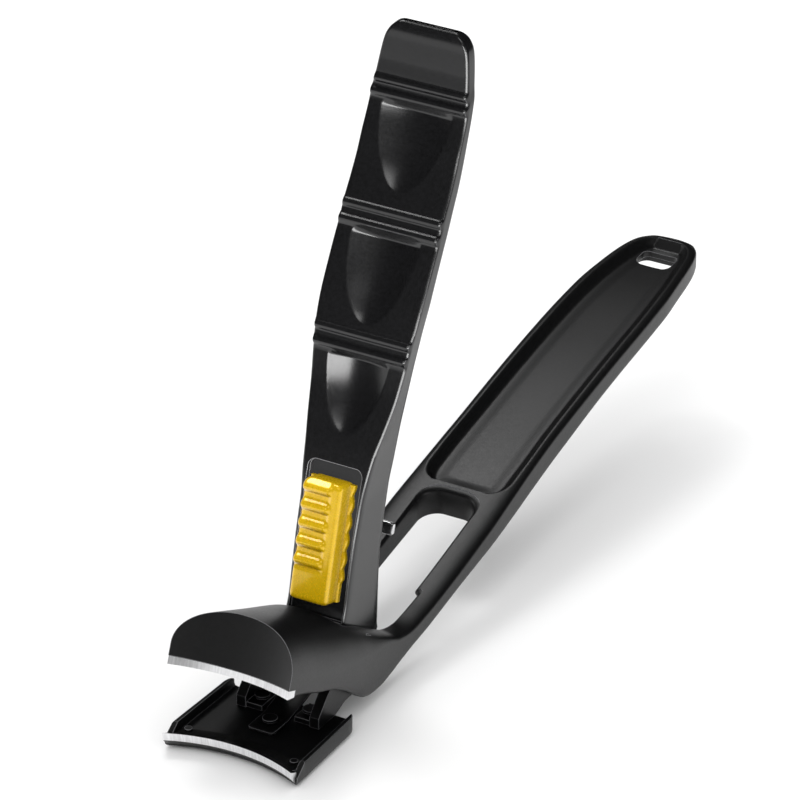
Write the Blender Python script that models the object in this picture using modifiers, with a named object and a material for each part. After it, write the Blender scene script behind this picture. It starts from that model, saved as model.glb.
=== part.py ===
"""Wide-jaw nail clipper with a folding lever and a sliding lock.

The model stands open on the flat underside of its lower jaw. Metres, +Z up, +X to the object's right,
-Y towards the blades and +Y towards the handle's end. The origin is the middle of the lower jaw's flat
underside. Shapes are drawn in millimetres, from a zero at the lower cutting edge's corners, and finish()
moves them to the origin and turns them into metres.
"""
import math
import bmesh
import bpy
from mathutils import Matrix, Vector

# ---------------------------------------------------------------- driving dimensions, millimetres
ORIGIN_Y = 8.0                     # from the drawing's zero to the origin
JAW_PIVOT = (25.2, 4.6)            # y, z of the lower jaw's pivot
LEVER_PIVOT = (21.5, 8.0)          # y, z of the lever's pivot
DRIVE_PIN_AT = (17.5, 4.5)         # y, z of the cross pin that the lever lifts
JAW_TURN = 20.9                    # degrees that the lower jaw turns to close
HEAD_TILT = math.radians(JAW_TURN)

HEAD_HALF_WIDTH = 8.4
BITE_DEPTH = 2.0                   # how far the cutting edges curve inwards, seen from above
UPPER_EDGE = (-0.15, 11.6)         # y, z of the upper cutting edge's corners
LOWER_EDGE = (-0.5, 2.3)           # y, z of the lower cutting edge's corners
BAND_HEIGHT = 1.35                 # ground band of the upper blade, along its face
GAP = 0.2                          # clearance between pieces that touch
FIT = 0.05                         # clearance between a pin and its bore

TRAY_HALF_WIDTH = 9.3
TRAY_TAPER = 0.35
TRAY_LENGTH = 15.4
TRAY_FLOOR = 0.9
TRAY_WALL = 0.7
TRAY_HEIGHT = 2.4

SLOT_WIDE = 4.6                    # half width of the slot beside the lever
SLOT_NARROW = 3.95                 # half width behind the lock's entry
SLOT_FRONT = 18.4
SLOT_STEP = 37.2
SLOT_REAR = 54.2

PIN_RADIUS = 1.2
DRIVE_PIN_RADIUS = 0.9
STUB_RADIUS = 0.9
EAR_INNER = 4.5
EAR_OUTER = 5.8
RIVET_X = 3.4                      # the ears' rivets: place and radius
RIVET_Y = 13.4
RIVET_RADIUS = 0.6

BLADE_LENGTH = 5.2                 # upper blade, front to back at its corners
BLADE_LIP = 1.6                    # its stretch that shows at the head's sides
SHANK_HALF = 7.5                   # half width of the rest of it, between the head's walls
BLADE_PIN_RADIUS = 0.5
BLADE_PIN_X = 5.6
UPPER_PIN_Y = 4.0
LOWER_PIN_X = 7.4
LOWER_PIN_Y = 2.9

SPRING_HALF = 1.8                  # half width of the leaf spring
SPRING_RIVET_Y = 9.6
SPRING_LINE = [(7.2, 1.1), (10.7, 1.1), (13.4, 1.65), (16.4, 2.4), (18.4, 3.3), (19.8, 4.5), (20.8, 5.8),
               (21.6, 6.25)]      # the leaf's underside, y, z

SLIDER_TILT = math.radians(15.5)   # the lever's face leans back this far beside the slider
SLIDER_CENTRE = (22.65, 20.28)     # y, z on the lever's face, at the middle of the slider
SLIDER_LENGTH = 15.2
CHANNEL_BELOW = 2.25               # free channel below and above the slider
CHANNEL_ABOVE = 1.75
SLIDER_HALF = 2.6
FLANGE_HALF = 3.5
SLIDER_PROUD = 2.5
CHANNEL_DEPTH = 0.8
STUD_HALF = 4.35                   # half width of the lock stud's head
NECK_HALF = 1.05
STUD_ALONG = (-0.25, 1.35)         # the head's ends along the lever's face, from the slider's middle
STUD_OUT = (-9.7, -8.9)            # the head's faces, measured out from the lever's face
SLIDER_TRAVEL = 1.4

# Casting sections: y, half width, bottom, shoulder, top, roundness exponent
CASTING = [
    (-3.0, 8.40, 11.90, 15.9, 21.6, 2.2),
    (0.5, 8.40, 11.55, 14.4, 20.2, 2.2),
    (3.6, 8.34, 10.60, 13.1, 19.0, 2.2),
    (7.7, 8.20, 8.70, 11.2, 17.3, 2.2),
    (11.6, 8.05, 7.10, 9.8, 15.6, 2.2),
    (14.9, 7.90, 5.10, 8.8, 14.2, 2.2),
    (17.2, 7.80, 3.50, 8.1, 13.2, 2.2),
    (19.2, 7.70, 1.95, 7.7, 12.2, 2.2),
    (21.2, 7.62, 1.40, 7.2, 11.0, 2.2),
    (23.4, 7.55, 1.30, 6.8, 9.4, 2.3),
    (25.6, 7.48, 1.60, 6.2, 7.9, 2.5),
    (28.0, 7.44, 2.15, 5.3, 6.5, 3.0),
    (31.0, 7.42, 2.80, 4.9, 5.9, 3.6),
    (34.8, 7.42, 3.50, 5.4, 6.4, 4.0),
    (39.0, 7.42, 4.50, 6.3, 7.3, 4.0),
    (43.2, 7.42, 5.50, 7.3, 8.4, 4.0),
    (50.4, 7.40, 7.05, 9.3, 10.4, 4.0),
    (56.5, 7.20, 8.40, 11.0, 12.1, 4.0),
    (62.0, 7.00, 9.75, 12.5, 13.6, 4.0),
    (69.3, 6.84, 11.60, 14.3, 15.4, 4.0),
    (80.6, 6.84, 14.50, 16.8, 17.9, 4.0),
    (89.0, 6.82, 16.20, 18.4, 19.5, 4.0),
    (97.7, 6.60, 17.60, 19.8, 20.9, 4.0),
    (102.6, 6.10, 18.30, 20.5, 21.5, 4.0),
    (107.5, 5.40, 18.80, 21.0, 21.9, 4.0),
    (110.4, 4.60, 19.10, 21.2, 22.0, 4.0),
    (112.2, 3.40, 19.35, 21.2, 21.9, 3.5),
    (113.2, 1.80, 19.80, 21.0, 21.5, 3.0),
]
# Dished rest in the handle: y, half width
REST = [(55.8, 3.2), (56.6, 5.2), (58.2, 5.9), (69.0, 5.6), (80.0, 5.6), (92.0, 5.5), (100.0, 5.0),
        (105.0, 4.5), (108.6, 3.9), (110.4, 3.0), (111.2, 1.6)]
REST_DEPTH = 1.1
HOLE_HALF = 2.5                    # lanyard hole: half width, place, half length, and the floor's underside
HOLE_Y = 108.0
HOLE_LENGTH = 1.7
HOLE_FLOOR = 19.9

# Lever, seen from the side: front face from the tip down, y, z
LEVER_FRONT = [(47.5, 77.9), (46.9, 76.0), (46.3, 73.2), (45.6, 70.2), (44.9, 67.6), (43.1, 64.8),
               (41.9, 62.3), (40.6, 60.0), (39.3, 57.8), (38.1, 55.4), (36.8, 53.2), (35.3, 50.6),
               (33.5, 47.4), (32.1, 44.4), (31.0, 42.0), (29.6, 37.6), (27.7, 33.8), (26.2, 30.9),
               (25.0, 28.0), (23.85, 24.2), (22.65, 20.3), (21.55, 16.0), (20.7, 12.4), (19.6, 10.0)]
# Lever's back face from its heel up to the tip
LEVER_BACK = [(28.2, 6.6), (28.5, 10.0), (28.7, 14.9), (29.3, 18.8), (30.5, 23.3), (31.6, 27.9),
              (32.2, 30.7), (33.0, 36.4), (34.1, 42.3), (35.9, 46.9), (38.1, 51.6), (40.5, 55.9),
              (43.1, 60.5), (45.4, 66.0), (47.2, 70.6), (48.4, 74.2), (48.9, 77.2), (48.5, 78.3)]
LEVER_FOOT = [(17.4, 6.5), (15.6, 5.6), (15.5, 3.6), (16.6, 2.7), (20.6, 2.7), (24.5, 3.6), (27.0, 5.0)]
LEVER_WIDTHS = [(78.5, 3.4), (78.0, 4.7), (77.0, 5.5), (75.4, 5.95), (71.4, 6.45), (69.3, 6.75),
                (60.0, 6.92), (53.2, 7.03), (47.4, 6.97), (42.4, 6.63), (37.6, 6.08), (33.8, 5.47),
                (30.9, 4.93), (28.0, 4.6), (24.2, 4.28), (12.0, 4.15), (0.0, 4.13)]
RIDGE_HEIGHTS = (70.4, 56.3, 42.8)
RIDGE_PROUD = 0.45


def mm(value):
    return value * 0.001


def clear_scene():
    for item in list(bpy.data.objects):
        bpy.data.objects.remove(item, do_unlink=True)


def new_collection(name):
    group = bpy.data.collections.new(name)
    bpy.context.scene.collection.children.link(group)
    return group


def make_material(name, colour, roughness, metallic):
    material = bpy.data.materials.new(name)
    material.use_nodes = True
    shader = material.node_tree.nodes["Principled BSDF"]
    shader.inputs["Base Color"].default_value = (*colour, 1.0)
    shader.inputs["Roughness"].default_value = roughness
    shader.inputs["Metallic"].default_value = metallic
    return material


BLACK = (0.012, 0.012, 0.013)
STEEL = (0.72, 0.72, 0.73)
YELLOW = (0.83, 0.58, 0.02)


def finish(name, bm, group, colour=None, roughness=0.3, metallic=1.0):
    """Turn a bmesh in millimetres into a named object with its own material."""
    bmesh.ops.recalc_face_normals(bm, faces=bm.faces)
    bm.transform(Matrix.Scale(0.001, 4) @ Matrix.Translation((0, -ORIGIN_Y, 0)))
    mesh = bpy.data.meshes.new(name)
    bm.to_mesh(mesh)
    bm.free()
    item = bpy.data.objects.new(name, mesh)
    group.objects.link(item)
    if colour:
        mesh.materials.append(make_material(name, colour, roughness, metallic))
    return item


def cutter(name, bm):
    item = finish(name, bm, CUTTERS)
    item.hide_render = True
    item.display_type = "WIRE"
    return item


def prism(outline, low, high, axis="X"):
    """A flat outline, extruded along one axis between two places.

    The outline's pairs are y, z for axis X and x, y for axis Z, and x, z for axis Y.
    """
    bm = bmesh.new()
    places = {"X": lambda a, b: (low, a, b), "Y": lambda a, b: (a, low, b),
              "Z": lambda a, b: (a, b, low)}
    face = bm.faces.new([bm.verts.new(places[axis](a, b)) for a, b in outline])
    moved = bmesh.ops.extrude_face_region(bm, geom=[face])
    step = {"X": (high - low, 0, 0), "Y": (0, high - low, 0), "Z": (0, 0, high - low)}[axis]
    verts = [item for item in moved["geom"] if isinstance(item, bmesh.types.BMVert)]
    bmesh.ops.translate(bm, verts=verts, vec=step)
    return bm


def rod(radius, low, high, y, z, sides=24):
    """A round bar along X."""
    turn = Matrix.Rotation(math.pi / 2, 4, "Y")
    place = Matrix.Translation(((low + high) / 2, y, z)) @ turn
    bm = bmesh.new()
    bmesh.ops.create_cone(bm, cap_ends=True, segments=sides, radius1=radius, radius2=radius,
                          depth=high - low, matrix=place)
    return bm


def upright(radius, low, high, x, y, sides=20):
    """A round bar along Z."""
    bm = bmesh.new()
    bmesh.ops.create_cone(bm, cap_ends=True, segments=sides, radius1=radius, radius2=radius,
                          depth=high - low, matrix=Matrix.Translation((x, y, (low + high) / 2)))
    return bm


def loft(rings):
    """A closed solid through rings with equal numbers of points."""
    bm = bmesh.new()
    loops = [[bm.verts.new(point) for point in ring] for ring in rings]
    count = len(rings[0])
    for near, far in zip(loops, loops[1:]):
        for i in range(count):
            j = (i + 1) % count
            bm.faces.new((near[i], near[j], far[j], far[i]))
    bm.faces.new(loops[0])
    bm.faces.new(list(reversed(loops[-1])))
    return bm


def boolean(item, other, operation="DIFFERENCE"):
    modifier = item.modifiers.new(other.name, "BOOLEAN")
    modifier.object = other
    modifier.operation = operation
    modifier.solver = "EXACT"


def bevel(item, width, angle=35, segments=2):
    modifier = item.modifiers.new("edges", "BEVEL")
    modifier.width = mm(width)
    modifier.segments = segments
    modifier.limit_method = "ANGLE"
    modifier.angle_limit = math.radians(angle)


def smooth(item, angle=30):
    item.data.shade_smooth()
    item.data.set_sharp_from_angle(angle=math.radians(angle))


def arc(centre, radius, start, end, steps):
    """Points on an arc, from one angle to another in degrees."""
    angles = [math.radians(start + (end - start) * i / steps) for i in range(steps + 1)]
    return [(centre[0] + radius * math.cos(a), centre[1] + radius * math.sin(a)) for a in angles]


def section(y, half, bottom, shoulder, top, power, arc_steps=10):
    """One upright section of the casting: straight sides and a rounded top."""
    chamfer = 0.5
    right = [(half - chamfer, bottom), (half, bottom + chamfer)]
    for i in range(arc_steps + 1):
        a = math.pi / 2 * i / arc_steps
        x = half * math.cos(a) ** (2 / power) if i < arc_steps else 0.0
        z = shoulder + (top - shoulder) * math.sin(a) ** (2 / power)
        right.append((x, z))
    left = [(-x, z) for x, z in reversed(right[:-1])]
    return [(x, y, z) for x, z in right + left]


def casting_top(y):
    for (y0, *_, t0, _p0), (y1, *_, t1, _p1) in zip(CASTING, CASTING[1:]):
        if y0 <= y <= y1:
            return t0 + (t1 - t0) * (y - y0) / (y1 - y0)
    return CASTING[-1][4]


def bite_cylinder(name, edge, tilt, half):
    """A tall cylinder whose side is the concave front of a jaw.

    edge is the y, z of the front's two corners, and tilt leans the cylinder's top backwards.
    """
    radius = (half ** 2 + BITE_DEPTH ** 2) / (2 * BITE_DEPTH)
    ahead = radius - BITE_DEPTH
    centre = Vector((0, edge[0] - ahead * math.cos(tilt), edge[1] + ahead * math.sin(tilt)))
    turn = Matrix.Rotation(-tilt, 4, "X")
    bm = bmesh.new()
    bmesh.ops.create_cone(bm, cap_ends=True, segments=120, radius1=radius, radius2=radius, depth=60,
                          matrix=Matrix.Translation(centre) @ turn)
    return cutter(name, bm)


def along_head(y, z, back, up):
    """A point moved back and up in the tilted head's own directions."""
    return (y + back * math.cos(HEAD_TILT) + up * math.sin(HEAD_TILT),
            z - back * math.sin(HEAD_TILT) + up * math.cos(HEAD_TILT))


def rounded_box(half, y, half_length, radius):
    """Plan outline of a rectangle with round corners, centred on x = 0."""
    x, up, down = half - radius, y + half_length - radius, y - half_length + radius
    return (arc((x, up), radius, 0, 90, 5) + arc((-x, up), radius, 90, 180, 5)
            + arc((-x, down), radius, 180, 270, 5) + arc((x, down), radius, 270, 360, 5))


def head_box(near, far, low, high):
    """Corners of a rectangle in the tilted head's own directions, from the upper edge."""
    corners = ((near, low), (near, high), (far, high), (far, low))
    return [along_head(*UPPER_EDGE, back, up) for back, up in corners]


def make_casting():
    casting = finish("body_casting", loft([section(*row) for row in CASTING]), PARTS, BLACK, 0.28, 0.6)

    boolean(casting, bite_cylinder("casting_front", UPPER_EDGE, HEAD_TILT, HEAD_HALF_WIDTH))

    # the seat of the upper blade: right across at the front, and between the head's walls behind it
    front = head_box(-6.0, BLADE_LIP + GAP, -4.0, BAND_HEIGHT + GAP)
    boolean(casting, cutter("blade_seat_front", prism(front, -12, 12)))
    behind = head_box(BLADE_LIP, BLADE_LENGTH + GAP, -4.0, BAND_HEIGHT + GAP)
    boolean(casting, cutter("blade_seat", prism(behind, -SHANK_HALF - GAP, SHANK_HALF + GAP)))

    # the hollow under the head, which the tray's ears and the lever's foot work in
    hollow = [(5.6, 4.9, 16.6), (9.0, 5.9, 15.0), (13.0, 6.1, 13.4), (17.0, 6.15, 12.1), (18.8, 6.15, 11.2),
              (21.0, 6.15, 9.8), (23.6, 6.1, 7.6), (25.4, 6.05, 6.75), (27.2, 6.0, 6.2)]
    rings = []
    for y, half, top in hollow:
        rings.append([(-half, y, -4), (half, y, -4), (half, y, top - 2.2 if y < 24 else top - 0.1),
                      (half * 0.72, y, top - 0.5 if y < 24 else top), (0, y, top),
                      (-half * 0.72, y, top - 0.5 if y < 24 else top),
                      (-half, y, top - 2.2 if y < 24 else top - 0.1)])
    boolean(casting, cutter("head_hollow", loft(rings)))

    # the long slot: wide beside the lever, a little narrower behind the lock's entry
    side = [(SLOT_WIDE, SLOT_FRONT + 0.8), (SLOT_WIDE, SLOT_STEP - 0.2), (SLOT_NARROW, SLOT_STEP + 0.3)]
    side += arc((SLOT_NARROW - 2.2, SLOT_REAR - 2.2), 2.2, 0, 90, 6)
    outline = [(SLOT_WIDE - 0.8, SLOT_FRONT)] + side
    outline += [(-x, y) for x, y in reversed(outline)]
    boolean(casting, cutter("handle_slot", prism(outline, -6, 30, "Z")))

    # room under the slot's edges for the lock stud's head
    lip = 0.55
    front, back = SLOT_STEP - 1.0, SLOT_STEP + 4.0
    pocket = [(front, 0), (front, casting_top(front) - lip), (back, casting_top(back) - lip), (back, 0)]
    boolean(casting, cutter("lock_pocket", prism(pocket, -SLOT_WIDE, SLOT_WIDE)))

    # the dished rest along the handle
    rest = []
    for y, half in REST:
        top = casting_top(y)
        floor = top - REST_DEPTH
        rest.append([(-half + 0.7, y, floor), (0, y, floor - 0.25), (half - 0.7, y, floor),
                     (half, y, floor + 0.5), (half + 0.2, y, top + 2), (-half - 0.2, y, top + 2),
                     (-half, y, floor + 0.5)])
    boolean(casting, cutter("handle_rest", loft(rest)))

    # the lanyard hole, and the thinner floor around it
    hole = rounded_box(HOLE_HALF, HOLE_Y, HOLE_LENGTH, 1.0)
    boolean(casting, cutter("lanyard_hole", prism(hole, 10, 30, "Z")))
    relief = rounded_box(HOLE_HALF + 0.8, HOLE_Y - 0.2, HOLE_LENGTH + 0.6, 1.4)
    boolean(casting, cutter("hole_relief", prism(relief, 10, HOLE_FLOOR, "Z")))

    for side in (-1, 1):
        bore = upright(BLADE_PIN_RADIUS + FIT, 4, 13.2, side * BLADE_PIN_X, UPPER_PIN_Y)
        boolean(casting, cutter("upper_blade_bore", bore))
    boolean(casting, cutter("lever_pin_bore", rod(PIN_RADIUS + FIT, -12, 12, *LEVER_PIVOT)))
    boolean(casting, cutter("jaw_pivot_bore", rod(STUB_RADIUS + FIT, -12, 12, *JAW_PIVOT)))
    smooth(casting)
    return casting


def make_upper_blade():
    """A steel plate let into the underside of the head, ground along its curved front."""
    thin = BAND_HEIGHT - 0.7
    corners = ((-3.0, 0.0), (-3.0, BAND_HEIGHT), (BLADE_LENGTH, BAND_HEIGHT), (BLADE_LENGTH, thin),
               (3.0, thin))
    profile = [along_head(*UPPER_EDGE, back, up) for back, up in corners]
    blade = finish("upper_blade", prism(profile, -8.25, 8.25), PARTS, STEEL, 0.25, 1.0)
    for name, low, high in (("blade_shank_left", -12, -SHANK_HALF), ("blade_shank_right", SHANK_HALF, 12)):
        boolean(blade, cutter(name, prism(head_box(BLADE_LIP, 9.0, -4.0, 4.0), low, high)))
    boolean(blade, bite_cylinder("upper_blade_front", UPPER_EDGE, HEAD_TILT, HEAD_HALF_WIDTH))
    for side in (-1, 1):
        bore = upright(BLADE_PIN_RADIUS + FIT, 4, 16, side * BLADE_PIN_X, UPPER_PIN_Y)
        boolean(blade, cutter("upper_blade_bore", bore))


def make_blade_pins(side_name, side):
    """Pins through the two blades' shanks: into the head above, and into the tray below."""
    x = side * BLADE_PIN_X
    low = along_head(*UPPER_EDGE, UPPER_PIN_Y - UPPER_EDGE[0], BAND_HEIGHT - 1.0)[1]
    finish("upper_blade_pin_" + side_name, upright(BLADE_PIN_RADIUS, low, low + 2.6, x, UPPER_PIN_Y, 16),
           PARTS, STEEL, 0.3, 1.0)
    lower = upright(BLADE_PIN_RADIUS, 0.25, 1.75, side * LOWER_PIN_X, LOWER_PIN_Y, 16)
    finish("lower_blade_pin_" + side_name, lower,
           PARTS, STEEL, 0.3, 1.0)


def tray_outline(inset, front, rear):
    """Plan outline of the lower jaw, drawn in from its sides by an inset."""
    front_half = TRAY_HALF_WIDTH - inset
    rear_half = TRAY_HALF_WIDTH - TRAY_TAPER - inset
    right = [(front_half, front), (rear_half, rear - 1.6)]
    right += arc((rear_half - 1.4, rear - 1.4), 1.4, 0, 90, 4)
    return right + [(-x, y) for x, y in reversed(right)]


def make_lower_jaw():
    jaw = finish("lower_jaw", prism(tray_outline(0, LOWER_EDGE[0] + 0.2, TRAY_LENGTH), 0, TRAY_HEIGHT, "Z"),
                 PARTS, BLACK, 0.25, 0.6)
    inner = tray_outline(TRAY_WALL, -4, TRAY_LENGTH + 4)
    boolean(jaw, cutter("tray_hollow", prism(inner, TRAY_FLOOR, 8, "Z")))
    boolean(jaw, bite_cylinder("tray_front", (LOWER_EDGE[0] + 1.2, 0), 0, TRAY_HALF_WIDTH))
    # the walls run down to the blade's corners
    nose = [(-3, 0.7), (LOWER_EDGE[0] + 0.6, 0.7), (LOWER_EDGE[0] + 3.0, TRAY_HEIGHT + 0.05),
            (LOWER_EDGE[0] + 3.0, 6), (-3, 6)]
    boolean(jaw, cutter("tray_nose", prism(nose, -12, 12)))
    for side in (-1, 1):
        bore = upright(RIVET_RADIUS + GAP, -1, 4, side * RIVET_X, RIVET_Y)
        boolean(jaw, cutter("tray_rivet_bore", bore))
        bore = upright(BLADE_PIN_RADIUS + FIT, -1, 4, side * LOWER_PIN_X, LOWER_PIN_Y)
        boolean(jaw, cutter("tray_blade_bore", bore))
    boolean(jaw, cutter("tray_spring_bore", upright(RIVET_RADIUS + FIT, -1, 4, 0, SPRING_RIVET_Y)))
    bevel(jaw, 0.15, 50, 1)
    return jaw


def make_lower_blade():
    """A ground steel strip along the front of the tray, with its edge turned up."""
    y, z = LOWER_EDGE
    half = 9.0
    steps = 24
    rings = []
    radius = (half ** 2 + BITE_DEPTH ** 2) / (2 * BITE_DEPTH)
    for i in range(steps + 1):
        x = -half + 2 * half * i / steps
        bow = BITE_DEPTH - (radius - math.sqrt(radius ** 2 - x ** 2))
        inner = TRAY_FLOOR + GAP
        rings.append([(x, y + bow, z), (x, y + bow + 0.35, 0.75), (x, y + bow + 0.95, 0.35),
                      (x, y + bow + 0.95, inner), (x, y + bow + 3.1, inner), (x, y + bow + 3.1, inner + 0.3),
                      (x, y + bow + 1.5, inner + 0.5)])
    inner_half = TRAY_HALF_WIDTH - TRAY_WALL - GAP
    blade = finish("lower_blade", loft(rings), PARTS, STEEL, 0.25, 1.0)
    sides = [(-inner_half, y + 1.3), (-9.2, y + 1.3), (-9.2, 12), (-inner_half, 12)]
    boolean(blade, cutter("blade_side_left", prism(sides, 0.6, 6, "Z")))
    boolean(blade, cutter("blade_side_right", prism([(-a, b) for a, b in sides], 0.6, 6, "Z")))
    for side in (-1, 1):
        bore = upright(BLADE_PIN_RADIUS + FIT, -1, 6, side * LOWER_PIN_X, LOWER_PIN_Y)
        boolean(blade, cutter("lower_blade_bore", bore))


def make_ear(name, side):
    """A folded ear riveted to the tray, which reaches back to the jaw's pivot. side is -1 or 1."""
    floor = TRAY_FLOOR + GAP
    outline = [(11.3, floor), (11.3, 2.5), (13.4, 4.7), (15.2, 6.0)] + arc(DRIVE_PIN_AT, 1.9, 130, 60, 5)
    outline += [(20.0, 4.9), (22.4, 4.9)] + arc(JAW_PIVOT, 1.6, 100, -110, 10)
    outline += [(21.0, 2.0), (17.6, 1.9), (15.2, floor)]
    low, high = sorted((side * EAR_INNER, side * EAR_OUTER))
    ear = finish(name, prism(outline, low, high), PARTS, BLACK, 0.3, 0.8)

    inner, outer = sorted((side * 2.3, side * (EAR_INNER + 0.3)))
    flange = [(inner, 11.5), (outer, 11.5), (outer, 15.0), (inner, 15.0)]
    boolean(ear, cutter(name + "_flange", prism(flange, floor, floor + 0.7, "Z")), "UNION")
    boolean(ear, cutter(name + "_drive_bore", rod(DRIVE_PIN_RADIUS + FIT, -8, 8, *DRIVE_PIN_AT)))
    boolean(ear, cutter(name + "_pivot_bore", rod(STUB_RADIUS + 0.08, -8, 8, *JAW_PIVOT)))
    boolean(ear, cutter(name + "_rivet_bore", upright(RIVET_RADIUS + GAP, -1, 4, side * RIVET_X, RIVET_Y)))


def make_ear_rivet(name, side):
    """A rivet that holds an ear to the tray, short of its underside and headed above."""
    rivet = finish(name, upright(RIVET_RADIUS, 0.2, 2.0, side * RIVET_X, RIVET_Y), PARTS, STEEL, 0.3, 1.0)
    boolean(rivet, cutter(name + "_head", upright(0.95, 1.95, 2.3, side * RIVET_X, RIVET_Y)), "UNION")


def make_jaw_pivots():
    """Short rivets through the head's walls and the tray's ears, one on each side."""
    for name, low, high in (("jaw_pivot_left", -7.3, -4.35), ("jaw_pivot_right", 4.35, 7.3)):
        finish(name, rod(STUB_RADIUS, low, high, *JAW_PIVOT), PARTS, STEEL, 0.3, 1.0)


def make_drive_pin():
    pin = finish("drive_pin", rod(DRIVE_PIN_RADIUS, -5.95, 5.95, *DRIVE_PIN_AT), PARTS, STEEL, 0.3, 1.0)
    bevel(pin, 0.15, 50, 1)


def make_lever_pin():
    pin = finish("lever_pin", rod(PIN_RADIUS, -7.5, 7.5, *LEVER_PIVOT), PARTS, STEEL, 0.3, 1.0)
    bevel(pin, 0.15, 50, 1)


def make_spring():
    """A leaf spring that rises from the tray, under the drive pin, to the underside of the lever pin."""
    thickness = 0.3
    line = [Vector(point) for point in SPRING_LINE]
    upper = []
    for i, point in enumerate(line):
        along = (line[min(i + 1, len(line) - 1)] - line[max(i - 1, 0)]).normalized()
        upper.append((point.x - along.y * thickness, point.y + along.x * thickness))
    outline = [tuple(point) for point in line] + upper[::-1]
    spring = finish("return_spring", prism(outline, -SPRING_HALF, SPRING_HALF), PARTS, STEEL, 0.3, 1.0)
    boolean(spring, cutter("spring_bore", upright(RIVET_RADIUS + FIT, -1, 3, 0, SPRING_RIVET_Y)))

    shank = upright(RIVET_RADIUS, 0.2, 1.7, 0, SPRING_RIVET_Y)
    rivet = finish("spring_rivet", shank, PARTS, STEEL, 0.3, 1.0)
    boolean(rivet, cutter("spring_rivet_head", upright(0.95, 1.62, 1.95, 0, SPRING_RIVET_Y)), "UNION")


def front_at(z):
    """The place and the downward direction of the lever's front face at a height."""
    for (y0, z0), (y1, z1) in zip(LEVER_FRONT, LEVER_FRONT[1:]):
        if z1 < z <= z0:
            share = (z0 - z) / (z0 - z1)
            return Vector((y0 + (y1 - y0) * share, z)), Vector((y1 - y0, z1 - z0)).normalized()
    return Vector(LEVER_FRONT[-1]), Vector((0, -1))


def lever_outline():
    """Side outline of the lever: ridged front, foot and back."""
    front = [point for point in LEVER_FRONT if all(abs(point[1] - ridge) > 1.2 for ridge in RIDGE_HEIGHTS)]
    for ridge in RIDGE_HEIGHTS:
        middle, along = front_at(ridge)
        out = Vector((along.y, -along.x))
        for offset, rise in ((-0.95, 0.0), (-0.65, 1.0), (-0.3, 1.0), (0.0, 0.1), (0.3, 1.0), (0.65, 1.0),
                             (0.95, 0.0)):
            front.append(tuple(middle + along * offset + out * rise * RIDGE_PROUD))
    front.sort(key=lambda point: -point[1])
    return front + LEVER_FOOT + LEVER_BACK


def make_lever():
    lever = finish("lever", prism(lever_outline(), -9, 9), PARTS, BLACK, 0.16, 0.5)
    right = [(half, z) for z, half in LEVER_WIDTHS]
    plan = right + [(-x, z) for x, z in reversed(right)]
    boolean(lever, cutter("lever_plan", prism(plan, 5, 60, "Y")), "INTERSECT")

    # the channel that the slider runs in, and the slot for its stud
    channel = slider_block(FLANGE_HALF + 0.25, -CHANNEL_DEPTH, 4.0, -SLIDER_LENGTH / 2 - CHANNEL_BELOW,
                           SLIDER_LENGTH / 2 + CHANNEL_ABOVE)
    boolean(lever, cutter("lever_channel", channel))
    slot = slider_block(1.35, -14, 4.0, STUD_ALONG[0] - 0.4, STUD_ALONG[1] + SLIDER_TRAVEL + 0.4)
    boolean(lever, cutter("lever_stud_slot", slot))

    boolean(lever, cutter("lever_bore", rod(PIN_RADIUS + FIT, -12, 12, *LEVER_PIVOT)))
    # the sloping slot in the foot that lifts the drive pin
    py, pz = DRIVE_PIN_AT
    reach = 2.6
    radius = DRIVE_PIN_RADIUS + 0.36
    drive = arc((py + reach, pz + 0.0), radius, -90, 90, 8) + arc((py, pz), radius, 90, 270, 8)
    boolean(lever, cutter("lever_drive_slot", prism(drive, -12, 12)))
    # the foot is forked, so that the leaf spring reaches the lever pin between its prongs
    fork = [(10, -2), (24.2, -2), (24.2, 6.6), (22.9, 9.3), (19.4, 9.3), (17.6, 6.8), (13, 8.2), (10, 8.2)]
    boolean(lever, cutter("lever_fork", prism(fork, -SPRING_HALF - 0.35, SPRING_HALF + 0.35)))
    smooth(lever)
    return lever


def slider_place(along, out):
    """A y, z point given along the lever's face, upwards, and out from it."""
    y, z = SLIDER_CENTRE
    return (y + along * math.sin(SLIDER_TILT) - out * math.cos(SLIDER_TILT),
            z + along * math.cos(SLIDER_TILT) + out * math.sin(SLIDER_TILT))


def slider_block(half, inner, outer, low, high):
    outline = [slider_place(low, inner), slider_place(high, inner), slider_place(high, outer),
               slider_place(low, outer)]
    return prism(outline, -half, half)


def make_slider():
    half_length = SLIDER_LENGTH / 2
    bottom = -CHANNEL_DEPTH + GAP
    flange = slider_block(FLANGE_HALF, bottom, bottom + 0.9, -half_length + 0.2, half_length - 0.2)
    button = finish("slider_button", flange, PARTS, YELLOW, 0.25, 0.3)
    outline = [slider_place(-half_length, 0.0), slider_place(half_length, 0.0)]
    outline.append(slider_place(half_length, SLIDER_PROUD - 0.2))
    pitch = 2.3
    for i in range(5):
        top = half_length - 0.35 - pitch * i
        for offset, rise in ((0.0, 0.25), (-0.35, 0.5), (-0.95, 0.5), (-1.3, 0.25), (-1.65, -0.05),
                             (-2.0, -0.05)):
            outline.append(slider_place(top + offset, SLIDER_PROUD - 0.3 + rise))
    outline.append(slider_place(-half_length + 1.9, SLIDER_PROUD - 0.1))
    outline.append(slider_place(-half_length + 0.3, SLIDER_PROUD - 0.1))
    boolean(button, cutter("slider_pad", prism(outline, -SLIDER_HALF, SLIDER_HALF)), "UNION")
    seat = slider_block(NECK_HALF + FIT, -4, -0.1, STUD_ALONG[0] + FIT, STUD_ALONG[1] - FIT)
    boolean(button, cutter("slider_stud_seat", seat))
    return button


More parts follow.
